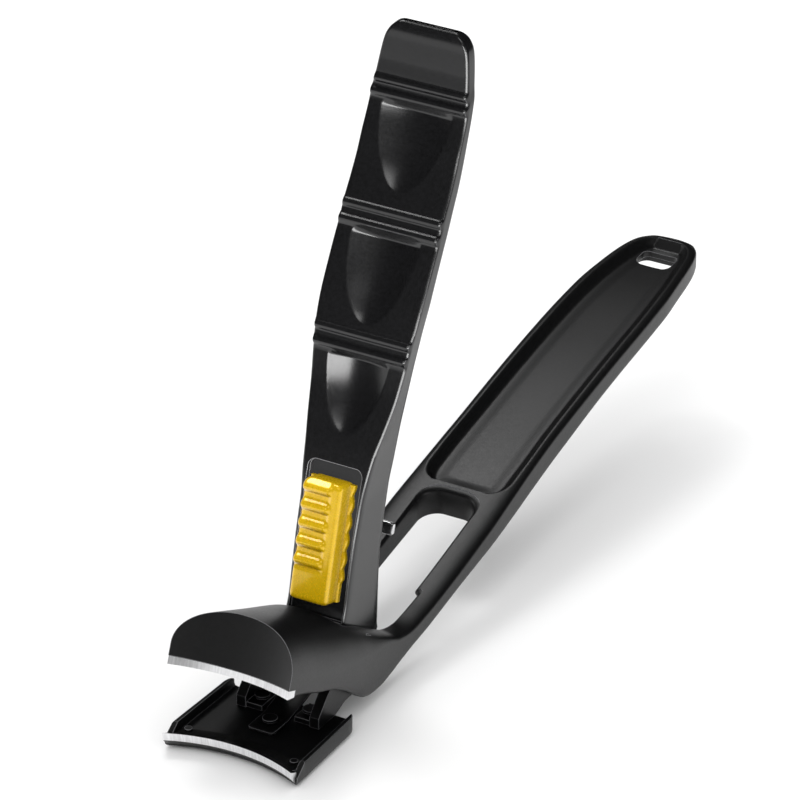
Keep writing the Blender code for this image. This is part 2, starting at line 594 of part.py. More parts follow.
def make_lock_stud():
    """A T-shaped stud: its neck passes through the lever and its head locks under the slot's edges."""
    neck = slider_block(NECK_HALF, STUD_OUT[0] + 0.4, -0.15, STUD_ALONG[0] + 0.1, STUD_ALONG[1] - 0.1)
    stud = finish("lock_stud", neck, PARTS, STEEL, 0.2, 1.0)
    boolean(stud, cutter("stud_head", slider_block(STUD_HALF, *STUD_OUT, *STUD_ALONG)), "UNION")
    bevel(stud, 0.15, 50, 2)
    return stud


def make_detent():
    """A small flat spring under the slider that holds it at either end of its travel."""
    outline = [slider_place(-5.6, -CHANNEL_DEPTH + 0.05), slider_place(-3.4, -CHANNEL_DEPTH + 0.05),
               slider_place(-3.4, -CHANNEL_DEPTH + 0.14), slider_place(-5.6, -CHANNEL_DEPTH + 0.14)]
    finish("slider_detent", prism(outline, -1.6, 1.6), PARTS, STEEL, 0.3, 1.0)


def ride_on(name, place, starts, leave=()):
    """Parent a moving body's pieces and cutters to an empty on its joint's axis."""
    axis = bpy.data.objects.new(name, None)
    CUTTERS.objects.link(axis)
    axis.location = (0, mm(place[0] - ORIGIN_Y), mm(place[1]))
    back = Matrix.Translation(-axis.location)
    for item in list(bpy.data.objects):
        if item.type == "MESH" and item.name.startswith(starts) and item.name not in leave:
            item.parent = axis
            item.matrix_parent_inverse = back


clear_scene()
PARTS = new_collection("nail_clipper")
CUTTERS = new_collection("cutters")
make_casting()
make_upper_blade()
make_lower_jaw()
make_lower_blade()
for side_name, side_sign in (("left", -1), ("right", 1)):
    make_blade_pins(side_name, side_sign)
    make_ear("jaw_ear_" + side_name, side_sign)
    make_ear_rivet("ear_rivet_" + side_name, side_sign)
make_jaw_pivots()
make_drive_pin()
make_lever_pin()
make_spring()
make_lever()
make_slider()
make_lock_stud()
make_detent()

ride_on("jaw_axis", JAW_PIVOT, ("lower_", "tray_", "blade_side", "jaw_ear", "ear_rivet", "drive_pin",
                                "return_spring", "spring_"))
ride_on("lever_axis", LEVER_PIVOT, ("lever",), ("lever_pin", "lever_pin_bore"))
ride_on("slider_axis", SLIDER_CENTRE, ("slider_", "lock_stud", "stud_head"))
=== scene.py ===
"""Looks of the wide-jaw nail clipper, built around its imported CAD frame.

Shapes are drawn in millimetres in the CAD source's drawing frame: x to the right, y back from the lower
cutting edge's corners, z up from the face that the lower jaw rests on. build() moves them to metres in the
row frame, whose origin is 8 mm further back.
"""

import math

import bmesh
import bpy
from mathutils import Matrix, Vector


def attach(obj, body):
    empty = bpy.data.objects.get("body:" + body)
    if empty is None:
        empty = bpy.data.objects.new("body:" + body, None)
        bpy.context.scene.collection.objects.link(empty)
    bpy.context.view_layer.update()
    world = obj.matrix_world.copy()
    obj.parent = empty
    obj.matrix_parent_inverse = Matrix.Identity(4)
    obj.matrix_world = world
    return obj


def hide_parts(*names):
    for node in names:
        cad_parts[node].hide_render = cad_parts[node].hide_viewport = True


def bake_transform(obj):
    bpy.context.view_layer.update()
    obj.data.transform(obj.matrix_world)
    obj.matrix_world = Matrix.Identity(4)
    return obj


FILL_LEVEL = 1.0                 # the world as diffuse light, in the camera's view, and in reflections
BACKDROP_LEVEL = 0.97
GLOSS_LEVEL = 0.02

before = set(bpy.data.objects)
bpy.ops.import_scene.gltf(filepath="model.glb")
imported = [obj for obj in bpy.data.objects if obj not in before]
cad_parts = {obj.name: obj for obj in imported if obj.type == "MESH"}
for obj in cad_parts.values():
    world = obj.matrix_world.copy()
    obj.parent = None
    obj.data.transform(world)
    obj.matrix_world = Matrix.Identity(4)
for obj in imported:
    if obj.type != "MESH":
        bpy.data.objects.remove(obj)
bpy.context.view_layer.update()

# ---------------------------------------------------------------- dimensions in millimetres, as in the CAD
ORIGIN_Y = 8.0
HEAD_TILT = math.radians(20.9)
BITE_DEPTH = 2.0
UPPER_EDGE = (-0.15, 11.6)
LOWER_EDGE = (-0.5, 2.3)
BAND_HEIGHT = 1.35
GAP = 0.2
FIT = 0.03                        # clearance around the pieces that are let into the casting
BLADE_LENGTH = 5.2                # upper blade: front to back, the part of it across the whole head, and
BLADE_LIP = 1.6                   # half the width of the rest
SHANK_HALF = 7.5
PIN_RADIUS = 1.2                  # the lever's pin, the jaw's pivots, and where they end inside the walls
STUB_RADIUS = 0.9
PIN_END = 6.5
TRAY_HALF = 9.3                   # lower jaw
TRAY_TAPER = 0.35
TRAY_LENGTH = 15.4
TRAY_FLOOR = 0.9
TRAY_WALL = 0.7
TRAY_HEIGHT = 2.4
SPRING_HALF = 1.8                 # leaf spring, with its underside as y, z
SPRING_THICKNESS = 0.3
SPRING_LINE = [(7.2, 1.1), (10.7, 1.1), (13.4, 1.65), (16.4, 2.4), (18.4, 3.3), (19.8, 4.5), (20.8, 5.8),
               (21.6, 6.25)]
HOLE_HALF = 2.5                   # lanyard hole, and the underside of the thinner floor around it
HOLE_Y = 108.0
HOLE_LENGTH = 1.7
HOLE_FLOOR = 19.9
JAW_PIVOT = (25.2, 4.6)
LEVER_PIVOT = (21.5, 8.0)
DRIVE_PIN_AT = (17.5, 4.5)
SLOT_WIDE = 4.6
SLOT_NARROW = 3.95
SLOT_FRONT = 18.4
SLOT_STEP = 37.2
SLOT_REAR = 54.2
SLIDER_TILT = math.radians(15.5)
SLIDER_CENTRE = (22.65, 20.28)
SLIDER_LENGTH = 15.2
SLIDER_HALF = 2.6
SLIDER_PROUD = 2.5
RIB_PITCH = 2.3
STUD_ALONG = (-0.25, 1.35)        # the lock stud's head: along the lever, out from its face, half width
STUD_OUT = -9.3
STUD_HALF = 4.35

# Casting sections: y, half width, bottom, shoulder, top, roundness exponent
CASTING = [
    (-3.0, 8.40, 11.90, 15.9, 21.6, 2.2),
    (0.5, 8.40, 11.55, 14.4, 20.2, 2.2),
    (3.6, 8.34, 10.60, 13.1, 19.0, 2.2),
    (7.7, 8.20, 8.70, 11.2, 17.3, 2.2),
    (11.6, 8.05, 7.10, 9.8, 15.6, 2.2),
    (14.9, 7.90, 5.10, 8.8, 14.2, 2.2),
    (17.2, 7.80, 3.50, 8.1, 13.2, 2.2),
    (19.2, 7.70, 1.95, 7.7, 12.2, 2.2),
    (21.2, 7.62, 1.40, 7.2, 11.0, 2.2),
    (23.4, 7.55, 1.30, 6.8, 9.4, 2.3),
    (25.6, 7.48, 1.60, 6.2, 7.9, 2.5),
    (28.0, 7.44, 2.15, 5.3, 6.5, 3.0),
    (31.0, 7.42, 2.80, 4.9, 5.9, 3.6),
    (34.8, 7.42, 3.50, 5.4, 6.4, 4.0),
    (39.0, 7.42, 4.50, 6.3, 7.3, 4.0),
    (43.2, 7.42, 5.50, 7.3, 8.4, 4.0),
    (50.4, 7.40, 7.05, 9.3, 10.4, 4.0),
    (56.5, 7.20, 8.40, 11.0, 12.1, 4.0),
    (62.0, 7.00, 9.75, 12.5, 13.6, 4.0),
    (69.3, 6.84, 11.60, 14.3, 15.4, 4.0),
    (80.6, 6.84, 14.50, 16.8, 17.9, 4.0),
    (89.0, 6.82, 16.20, 18.4, 19.5, 4.0),
    (97.7, 6.60, 17.60, 19.8, 20.9, 4.0),
    (102.6, 6.10, 18.30, 20.5, 21.5, 4.0),
    (107.5, 5.40, 18.80, 21.0, 21.9, 4.0),
    (110.4, 4.60, 19.10, 21.2, 22.0, 4.0),
    (112.2, 3.40, 19.35, 21.2, 21.9, 3.5),
    (113.2, 1.80, 19.80, 21.0, 21.5, 3.0),
]
# Dished rest in the handle: y, half width
REST = [(55.6, 3.9), (56.2, 4.9), (57.2, 5.6), (58.6, 5.9), (62.0, 5.9), (69.0, 5.75), (80.0, 5.7),
        (92.0, 5.6), (100.0, 5.2), (105.0, 4.6), (108.6, 3.95), (110.2, 3.3), (111.0, 2.6), (111.5, 1.8)]
REST_FRONT = 55.5
REST_BACK = 111.6
REST_DEPTH = 1.15

# Lever: y, z of the front face from the foot up, and of the back face at about the same heights
LEVER_FRONT = [(18.0, 6.8), (19.3, 9.2), (20.7, 12.4), (21.55, 16.0), (22.65, 20.3), (23.85, 24.2),
               (25.0, 28.0), (26.2, 30.9), (27.7, 33.8), (29.6, 37.6), (30.95, 41.3), (32.1, 44.4),
               (33.5, 47.4),
               (35.3, 50.6), (36.8, 53.2), (38.1, 55.4), (39.3, 57.8), (40.6, 60.0), (41.9, 62.3),
               (43.1, 64.8), (44.5, 67.6), (45.5, 70.2), (46.1, 73.2), (46.7, 76.0), (46.95, 77.2),
               (47.3, 77.9), (47.8, 78.2)]
LEVER_BACK = [(28.2, 5.0), (28.4, 8.0), (28.6, 12.0), (28.9, 16.0), (29.7, 20.3), (30.8, 24.8), (31.7, 28.6),
              (32.4, 32.0), (32.9, 35.6), (33.5, 39.6), (34.4, 43.2), (35.4, 46.0), (36.6, 48.6),
              (38.1, 51.6), (39.3, 53.8), (40.5, 55.9), (41.8, 58.2), (43.1, 60.5), (44.2, 62.9),
              (45.4, 66.0), (46.5, 68.8), (47.3, 71.2), (48.1, 73.6), (48.7, 76.2), (48.85, 77.3),
              (48.6, 78.0), (48.2, 78.25)]
LEVER_WIDTHS = [(0.0, 4.13), (12.0, 4.15), (24.2, 4.28), (28.0, 4.6), (30.9, 4.93), (33.8, 5.47),
                (37.6, 6.08), (42.4, 6.63), (47.4, 6.97), (53.2, 7.03), (60.0, 6.92), (69.3, 6.75),
                (71.4, 6.45), (74.0, 6.12), (75.3, 5.92), (76.2, 5.7), (76.9, 5.36), (77.4, 4.98),
                (77.8, 4.5), (78.1, 3.9), (78.25, 3.2)]
RIB_HEIGHTS = ((70.95, 69.35), (57.1, 55.3), (43.75, 41.95))
# Shield-shaped dishes: height of the top edge and of the tip, half width, depth
DISHES = ((68.9, 59.3, 4.95, 1.1), (55.1, 45.0, 4.85, 1.35), (41.5, 32.6, 4.25, 1.35))


# ---------------------------------------------------------------- curves and meshes
def hermite(rows, where, column):
    """A smooth value from a table sorted by its first column, without overshoot."""
    if where <= rows[0][0]:
        return rows[0][column]
    if where >= rows[-1][0]:
        return rows[-1][column]
    k = next(i for i in range(len(rows) - 1) if rows[i][0] <= where <= rows[i + 1][0])

    def slope(i):
        if i == 0 or i == len(rows) - 1:
            j = min(i, len(rows) - 2)
            return (rows[j + 1][column] - rows[j][column]) / (rows[j + 1][0] - rows[j][0])
        before = (rows[i][column] - rows[i - 1][column]) / (rows[i][0] - rows[i - 1][0])
        after = (rows[i + 1][column] - rows[i][column]) / (rows[i + 1][0] - rows[i][0])
        if before * after <= 0:
            return 0.0
        return 2 * before * after / (before + after)

    span = rows[k + 1][0] - rows[k][0]
    t = (where - rows[k][0]) / span
    a, b = rows[k][column], rows[k + 1][column]
    return ((1 + 2 * t) * (1 - t) ** 2 * a + t * (1 - t) ** 2 * span * slope(k)
            + t * t * (3 - 2 * t) * b + t * t * (t - 1) * span * slope(k + 1))


def ramp(value, start, end):
    """0 before start, 1 after end, and smooth between."""
    t = min(max((value - start) / (end - start), 0.0), 1.0)
    return t * t * (3 - 2 * t)


def bump(value, centre, width):
    """A rounded rib: 1 at its centre and 0 at its width."""
    t = abs(value - centre) / width
    return 0.0 if t >= 1 else (1 - t * t) ** 2 * (1 + 0.6 * t * t)


def spread(start, end, count):
    return [start + (end - start) * i / (count - 1) for i in range(count)]


def arc(centre, radius, start, end, steps):
    angles = [math.radians(start + (end - start) * i / steps) for i in range(steps + 1)]
    return [(centre[0] + radius * math.cos(a), centre[1] + radius * math.sin(a)) for a in angles]


def loft(rings, closed=False):
    """A solid through rings with equal numbers of points; closed joins the last ring to the first."""
    bm = bmesh.new()
    loops = [[bm.verts.new(point) for point in ring] for ring in rings]
    count = len(rings[0])
    pairs = list(zip(loops, loops[1:]))
    if closed:
        pairs.append((loops[-1], loops[0]))
    for near, far in pairs:
        for i in range(count):
            j = (i + 1) % count
            bm.faces.new((near[i], near[j], far[j], far[i]))
    if not closed:
        bm.faces.new(loops[0])
        bm.faces.new(list(reversed(loops[-1])))
    return bm


def prism(outline, low, high, axis="X"):
    """A flat outline, extruded along one axis. Its pairs are y, z for X, x, z for Y and x, y for Z."""
    places = {"X": lambda a, b, c: (c, a, b), "Y": lambda a, b, c: (a, c, b), "Z": lambda a, b, c: (a, b, c)}
    return loft([[places[axis](a, b, c) for a, b in outline] for c in (low, high)])


def rod(radius, low, high, y, z, sides=64):
    """A cylinder along x."""
    angles = [2 * math.pi * i / sides for i in range(sides)]
    return prism([(y + radius * math.cos(a), z + radius * math.sin(a)) for a in angles], low, high)


def build(name, bm):
    """An object in metres in the row frame from a bmesh in drawing millimetres."""
    bmesh.ops.recalc_face_normals(bm, faces=bm.faces)
    bm.transform(Matrix.Scale(0.001, 4) @ Matrix.Translation((0, -ORIGIN_Y, 0)))
    mesh = bpy.data.meshes.new(name)
    bm.to_mesh(mesh)
    bm.free()
    item = bpy.data.objects.new(name, mesh)
    bpy.context.scene.collection.objects.link(item)
    return item


def boolean(item, bm, operation="DIFFERENCE"):
    """Cut or join at once, so that no cutter stays in the scene."""
    other = build(item.name + "_cutter", bm)
    modifier = item.modifiers.new("boolean", "BOOLEAN")
    modifier.object = other
    modifier.operation = operation
    modifier.solver = "EXACT"
    apply_modifiers(item)
    bpy.data.objects.remove(other)


def apply_modifiers(item):
    graph = bpy.context.evaluated_depsgraph_get()
    mesh = bpy.data.meshes.new_from_object(item.evaluated_get(graph))
    item.modifiers.clear()
    item.data = mesh


def round_edges(item, width, angle=40, segments=2):
    modifier = item.modifiers.new("edges", "BEVEL")
    modifier.width = width * 0.001
    modifier.segments = segments
    modifier.limit_method = "ANGLE"
    modifier.angle_limit = math.radians(angle)
    apply_modifiers(item)


def smooth(item, angle=32):
    item.data.shade_smooth()
    item.data.set_sharp_from_angle(angle=math.radians(angle))


def done(item, material, body, nodes):
    """Give a finished piece its material, its body and the CAD nodes that it stands for."""
    item.data.materials.clear()
    item.data.materials.append(material)
    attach(item, body)
    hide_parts(*nodes)


# ---------------------------------------------------------------- materials
def shader_of(name):
    material = bpy.data.materials.new(name)
    material.use_nodes = True
    return material, material.node_tree, material.node_tree.nodes["Principled BSDF"]


def noise(tree, scale, detail=3.0, stretch=(1, 1, 1)):
    """Noise in object space, in metres."""
    place = tree.nodes.new("ShaderNodeTexCoord")
    mapping = tree.nodes.new("ShaderNodeMapping")
    mapping.inputs["Scale"].default_value = stretch
    texture = tree.nodes.new("ShaderNodeTexNoise")
    texture.inputs["Scale"].default_value = scale
    texture.inputs["Detail"].default_value = detail
    tree.links.new(place.outputs["Object"], mapping.inputs["Vector"])
    tree.links.new(mapping.outputs["Vector"], texture.inputs["Vector"])
    return texture.outputs["Fac"]


def spread_to(tree, value, low, high):
    """Map a 0.3 to 0.7 noise value onto a range."""
    node = tree.nodes.new("ShaderNodeMapRange")
    node.inputs["From Min"].default_value = 0.3
    node.inputs["From Max"].default_value = 0.7
    node.inputs["To Min"].default_value = low
    node.inputs["To Max"].default_value = high
    tree.links.new(value, node.inputs["Value"])
    return node.outputs["Result"]


def add_bump(tree, shader, value, distance, strength):
    """Relief of a given height in metres."""
    node = tree.nodes.new("ShaderNodeBump")
    node.inputs["Distance"].default_value = distance
    node.inputs["Strength"].default_value = strength
    tree.links.new(value, node.inputs["Height"])
    tree.links.new(node.outputs["Normal"], shader.inputs["Normal"])


def soften_edges(tree, radius):
    """Shade sharp edges as if they were rounded, under the bump. Returns how far each spot is rounded, which
    is also the mask for the painted edge highlight.
    """
    edges = tree.nodes.new("ShaderNodeBevel")
    edges.samples = 8
    edges.inputs["Radius"].default_value = radius
    bumps = next(node for node in tree.nodes if node.bl_idname == "ShaderNodeBump")
    tree.links.new(edges.outputs["Normal"], bumps.inputs["Normal"])
    flat = tree.nodes.new("ShaderNodeNewGeometry")
    same = tree.nodes.new("ShaderNodeVectorMath")
    same.operation = "DOT_PRODUCT"
    tree.links.new(edges.outputs["Normal"], same.inputs[0])
    tree.links.new(flat.outputs["Normal"], same.inputs[1])
    share = tree.nodes.new("ShaderNodeMapRange")
    share.inputs["From Min"].default_value = 0.985
    share.inputs["From Max"].default_value = 0.90
    tree.links.new(same.outputs["Value"], share.inputs["Value"])
    return share.outputs["Result"]


def paint_edge_highlight(tree, shader, share, colour):
    """Paint a lighter line along the sharp edges: a painted highlight in the base colour, standing in for
    the light that the rounded edges catch.
    """
    node = tree.nodes.new("ShaderNodeMix")
    node.data_type = "RGBA"
    tree.links.new(share, node.inputs[0])
    tree.links.new(shader.inputs["Base Color"].links[0].from_socket, node.inputs[6])
    node.inputs[7].default_value = (*colour, 1)
    tree.links.new(node.outputs[2], shader.inputs["Base Color"])


def mixed(tree, value, low, high):
    """A colour between two, driven by a noise value."""
    node = tree.nodes.new("ShaderNodeMix")
    node.data_type = "RGBA"
    node.inputs[6].default_value = (*low, 1)
    node.inputs[7].default_value = (*high, 1)
    tree.links.new(spread_to(tree, value, 0.0, 1.0), node.inputs[0])
    return node.outputs[2]


def black_coat(name, rough_low, rough_high, specular, grain):
    """Black coated metal: fine grain, a slightly uneven gloss, and a painted highlight of lighter colour
    along the sharp edges.
    """
    material, tree, shader = shader_of(name)
    tree.links.new(mixed(tree, noise(tree, 2400), (0.0025, 0.0025, 0.0027), (0.0045, 0.0045, 0.005)),
                   shader.inputs["Base Color"])
    tree.links.new(spread_to(tree, noise(tree, 3200, 5), rough_low, rough_high), shader.inputs["Roughness"])
    shader.inputs["Metallic"].default_value = 0.0
    shader.inputs["Specular IOR Level"].default_value = specular
    add_bump(tree, shader, noise(tree, 5200, 4), 0.00002, grain)
    # painted highlight: a light grey base colour along the sharp edges, in place of the shine that their
    # rounding catches
    paint_edge_highlight(tree, shader, soften_edges(tree, 0.00014), (0.20, 0.20, 0.21))
    return material


def ground_steel(name):
    """Bright steel with fine grinding lines up the band, and the black coat above and below it."""
    material, tree, shader = shader_of(name)
    lines = noise(tree, 2600, 4, (1.6, 0.4, 0.08))
    tree.links.new(mixed(tree, lines, (0.72, 0.72, 0.73), (0.92, 0.92, 0.93)), shader.inputs["Base Color"])
    tree.links.new(spread_to(tree, lines, 0.3, 0.4), shader.inputs["Roughness"])
    add_bump(tree, shader, lines, 0.00001, 0.35)
    coat_upward_faces(tree, shader)
    return material


def coat_upward_faces(tree, shader):
    """Only the ground front and the sides are bare; faces that look up or down keep the black coat."""
    place = tree.nodes.new("ShaderNodeTexCoord")
    split = tree.nodes.new("ShaderNodeSeparateXYZ")
    size = tree.nodes.new("ShaderNodeMath")
    size.operation = "ABSOLUTE"
    bare = tree.nodes.new("ShaderNodeMapRange")
    bare.inputs["From Min"].default_value = 0.60
    bare.inputs["From Max"].default_value = 0.50
    tree.links.new(place.outputs["Normal"], split.inputs["Vector"])
    tree.links.new(split.outputs["Z"], size.inputs[0])
    tree.links.new(size.outputs["Value"], bare.inputs["Value"])
    colour = tree.nodes.new("ShaderNodeMix")
    colour.data_type = "RGBA"
    colour.inputs[6].default_value = (0.004, 0.004, 0.004, 1)
    tree.links.new(bare.outputs["Result"], colour.inputs[0])
    tree.links.new(shader.inputs["Base Color"].links[0].from_socket, colour.inputs[7])
    tree.links.new(colour.outputs[2], shader.inputs["Base Color"])
    metal = tree.nodes.new("ShaderNodeMath")
    metal.operation = "MULTIPLY"
    metal.inputs[1].default_value = 0.85
    tree.links.new(bare.outputs["Result"], metal.inputs[0])
    tree.links.new(metal.outputs["Value"], shader.inputs["Metallic"])


def bright_steel(name):
    """Plain bright steel with faint marks along it, for the stud, the drive pin and the detent."""
    material, tree, shader = shader_of(name)
    marks = noise(tree, 1400, 4, (0.2, 1.0, 1.0))
    tree.links.new(mixed(tree, marks, (0.6, 0.6, 0.61), (0.8, 0.8, 0.8)), shader.inputs["Base Color"])
    tree.links.new(spread_to(tree, marks, 0.15, 0.3), shader.inputs["Roughness"])
    shader.inputs["Metallic"].default_value = 1.0
    add_bump(tree, shader, marks, 0.00001, 0.3)
    return material


def yellow_gloss(name):
    """Golden-yellow glossy plastic with a little unevenness in it."""
    material, tree, shader = shader_of(name)
    tree.links.new(mixed(tree, noise(tree, 900), (0.86, 0.53, 0.001), (0.92, 0.59, 0.002)),
                   shader.inputs["Base Color"])
    tree.links.new(spread_to(tree, noise(tree, 2400, 4), 0.24, 0.3), shader.inputs["Roughness"])
    shader.inputs["Metallic"].default_value = 0.3
    shader.inputs["Coat Weight"].default_value = 0.6
    shader.inputs["Coat Roughness"].default_value = 0.08
    add_bump(tree, shader, noise(tree, 3600, 3), 0.000004, 0.1)
    return material


# ---------------------------------------------------------------- the casting
def casting_top(y):
    """Height of the casting's top along its middle."""
    return hermite(CASTING, y, 4)


def casting_surface(x, y):
    """Height of the casting's rounded top, before anything is cut into it."""
    half, shoulder, top, power = (hermite(CASTING, y, i) for i in (1, 3, 4, 5))
    across = min(abs(x) / half, 1.0)
    return shoulder + (top - shoulder) * (1 - across ** power) ** (1 / power)


def rest_depth(x, y):
    """Depth of the dished rest: a soft rim, a rounded wall and a gently hollow floor."""
    if not REST_FRONT < y < REST_BACK:
        return 0.0
    half = hermite(REST, y, 1)
    rim = abs(x) - half
    ends = min(y - REST_FRONT, REST_BACK - y)
    wall = min(-rim, ends * 1.1)
    depth = REST_DEPTH * ramp(wall, -0.25, 1.25)
    return depth + 0.3 * max(0.0, 1 - (x / half) ** 2) * ramp(wall, 0.6, 3.0)


def casting_ring(y, side_steps=14, top_steps=34):
    half, bottom, shoulder, top, power = (hermite(CASTING, y, i) for i in range(1, 6))
    chamfer = 0.6
    corner = [(half - chamfer + chamfer * math.cos(a), bottom + chamfer - chamfer * math.sin(a))
              for a in (math.pi / 2 * (1 - i / 4) for i in range(5))]
    right = [(half * share, bottom) for share in (0.0, 0.25, 0.5, 0.75)] + corner
    wall = shoulder - bottom - chamfer
    right += [(half, bottom + chamfer + wall * share) for share in (0.25, 0.5, 0.75)]
    split = math.pi / 4
    for i in range(side_steps):
        a = split * (i / side_steps) ** 1.3
        across = math.cos(a) ** (2 / power)
        right.append((half * across, shoulder + (top - shoulder) * math.sin(a) ** (2 / power)))
    inner = half * math.cos(split) ** (2 / power)
    for i in range(top_steps + 1):
        x = inner * (1 - i / top_steps)
        right.append((x, casting_surface(x, y) - rest_depth(x, y)))
    left = [(-x, z) for x, z in reversed(right[1:-1])]
    return [(x, y, z) for x, z in right + left]


def bite_cylinder(edge, tilt, half):
    """A tall cylinder whose side is the concave front of a jaw."""
    radius = (half ** 2 + BITE_DEPTH ** 2) / (2 * BITE_DEPTH)
    ahead = radius - BITE_DEPTH
    centre = Vector((0, edge[0] - ahead * math.cos(tilt), edge[1] + ahead * math.sin(tilt)))
    bm = bmesh.new()
    bmesh.ops.create_cone(bm, cap_ends=True, segments=480, radius1=radius, radius2=radius, depth=60,
                          matrix=Matrix.Translation(centre) @ Matrix.Rotation(-tilt, 4, "X"))
    return bm


def along_head(y, z, back, up):
    return (y + back * math.cos(HEAD_TILT) + up * math.sin(HEAD_TILT),
            z - back * math.sin(HEAD_TILT) + up * math.cos(HEAD_TILT))


def head_box(near, far, low, high):
    """Corners of a rectangle in the tilted head's own directions, from the upper edge."""
    return [along_head(*UPPER_EDGE, back, up)
            for back, up in ((near, low), (near, high), (far, high), (far, low))]


def rounded_box(half, y, half_length, radius):
    """Plan outline of a rectangle with round corners, centred on x = 0."""
    x, up, down = half - radius, y + half_length - radius, y - half_length + radius
    return (arc((x, up), radius, 0, 90, 10) + arc((-x, up), radius, 90, 180, 10)
            + arc((-x, down), radius, 180, 270, 10) + arc((x, down), radius, 270, 360, 10))


def slot_cutter():
    """The long slot, with its upper rim rounded over."""
    side = [(SLOT_WIDE, y) for y in spread(SLOT_FRONT + 1.2, SLOT_STEP - 1.3, 14)]
    side += [(SLOT_WIDE - (SLOT_WIDE - SLOT_NARROW) * ramp(y, SLOT_STEP - 0.3, SLOT_STEP + 0.4), y)
             for y in spread(SLOT_STEP - 0.9, SLOT_STEP + 0.9, 12)]
    side += [(SLOT_NARROW, y) for y in spread(SLOT_STEP + 2, SLOT_REAR - 3.4, 10)]
    side += arc((SLOT_NARROW - 2.6, SLOT_REAR - 2.6), 2.6, 0, 90, 14)
    front = arc((SLOT_WIDE - 1.2, SLOT_FRONT + 1.2), 1.2, -90, 0, 6)[:-1]
    right = front + side
    outline = right + [(-x, y) for x, y in reversed(right)]
    levels = [(0.0, None), (0.0, -0.45), (0.1, -0.2), (0.32, -0.03), (0.75, 0.1), (0.75, None)]
    rings = []
    for index, (out, below) in enumerate(levels):
        ring = []
        for i, (x, y) in enumerate(outline):
            px, py = outline[i - 1]
            nx, ny = outline[(i + 1) % len(outline)]
            away = Vector((ny - py, px - nx))
            away = away.normalized() * out if away.length > 1e-6 else Vector((0, 0))
            if below is None:
                z = -6.0 if index == 0 else 30.0
            else:
                z = casting_surface(x + away.x, y) + below
            ring.append((x + away.x, y + away.y, z))
        rings.append(ring)
    return loft(rings)


def make_casting(material):
    stations = spread(-3.0, 34.0, 120) + spread(34.5, 55.0, 42) + spread(55.2, 59.8, 40)
    stations += spread(60.2, 106.0, 110) + spread(106.25, 113.0, 60)
    tip = [113.08, 113.14, 113.2]
    casting = build("visual_casting", loft([casting_ring(y) for y in stations + tip]))
    boolean(casting, slot_cutter())
    boolean(casting, bite_cylinder(UPPER_EDGE, HEAD_TILT, 8.4))
    boolean(casting, prism(head_box(-6.0, BLADE_LIP + FIT, -4.0, BAND_HEIGHT + FIT), -12, 12))
    inside = SHANK_HALF + 0.1
    shank = head_box(BLADE_LIP, BLADE_LENGTH + GAP, -4.0, BAND_HEIGHT + FIT)
    boolean(casting, prism(shank, -inside, inside))
    hollow = [(5.6, 4.9, 16.6), (9.0, 5.9, 15.0), (13.0, 6.1, 13.4), (17.0, 6.15, 12.1), (18.8, 6.15, 11.2),
              (21.0, 6.15, 9.8), (23.6, 6.1, 7.6), (25.4, 6.05, 6.75), (27.2, 6.0, 6.2)]
    rings = []
    for y, half, top in hollow:
        drop, shoulder = (2.2, 0.5) if y < 22 else (1.0, 0.2) if y < 24 else (0.0, 0.0)
        rings.append([(-half, y, -4), (half, y, -4), (half, y, top - drop), (half * 0.72, y, top - shoulder),
                      (0, y, top), (-half * 0.72, y, top - shoulder), (-half, y, top - drop)])
    boolean(casting, loft(rings))
    front, back = SLOT_STEP - 1.0, SLOT_STEP + 4.0
    lip = 0.55
    pocket = [(front, 0), (front, casting_top(front) - lip), (back, casting_top(back) - lip), (back, 0)]
    boolean(casting, prism(pocket, -SLOT_WIDE, SLOT_WIDE))
    boolean(casting, prism(rounded_box(HOLE_HALF, HOLE_Y, HOLE_LENGTH, 1.0), 10, 30, "Z"))
    relief = rounded_box(HOLE_HALF + 0.8, HOLE_Y - 0.2, HOLE_LENGTH + 0.6, 1.4)
    boolean(casting, prism(relief, 10, HOLE_FLOOR, "Z"))
    boolean(casting, rod(PIN_RADIUS + FIT, -PIN_END, PIN_END, *LEVER_PIVOT))
    boolean(casting, rod(STUB_RADIUS + FIT, -PIN_END, PIN_END, *JAW_PIVOT))
    smooth(casting, 38)
    done(casting, material, "body", ["body_casting"])


def make_hidden_pins(material):
    """The lever pin and the jaw's two pivots, whose ends lie under the coat of the head's sides."""
    end = PIN_END - FIT
    for name, radius, centre, low, high, node in (
            ("visual_lever_pin", PIN_RADIUS, LEVER_PIVOT, -end, end, "lever_pin"),
            ("visual_jaw_pivot_left", STUB_RADIUS, JAW_PIVOT, -end, -4.35, "jaw_pivot_left"),
            ("visual_jaw_pivot_right", STUB_RADIUS, JAW_PIVOT, 4.35, end, "jaw_pivot_right")):
        pin = build(name, rod(radius, low, high, *centre))
        round_edges(pin, 0.12, 50, 3)
        smooth(pin, 38)
        done(pin, material, "body", [node])


# ---------------------------------------------------------------- the lever
def lever_line(table, share):
    """A smooth point on one of the lever's faces, by its share of the way from foot to tip."""
    rows = [(i / (len(table) - 1), *point) for i, point in enumerate(table)]
    return Vector((0, hermite(rows, share, 1), hermite(rows, share, 2)))


def dish_depth(x, z):
    """How deep the shield-shaped dishes go below the lever's face: smooth bowls with a narrow round tip."""
    for top, tip, half, depth in DISHES:
        if tip < z < top:
            t = (top - z) / (top - tip)
            corner = 1 - 0.16 * (1 - min(t / 0.10, 1.0)) ** 2
            edge = half * corner * math.sqrt(max(0.0, 1 - t ** 1.75))
            if abs(x) < edge:
                return depth * (edge / half) ** 1.6 * (1 - (x / edge) ** 2) * ramp(t, -0.02, 0.09)
    return 0.0


def rib_height(z):
    height = 0.0
    for upper, lower in RIB_HEIGHTS:
        height += 0.36 * bump(z, upper, 0.62) + 0.42 * bump(z, lower, 0.66)
        height += 0.12 * ramp(z, lower - 1.2, lower) * (1 - ramp(z, upper, upper + 2.6))
    return height


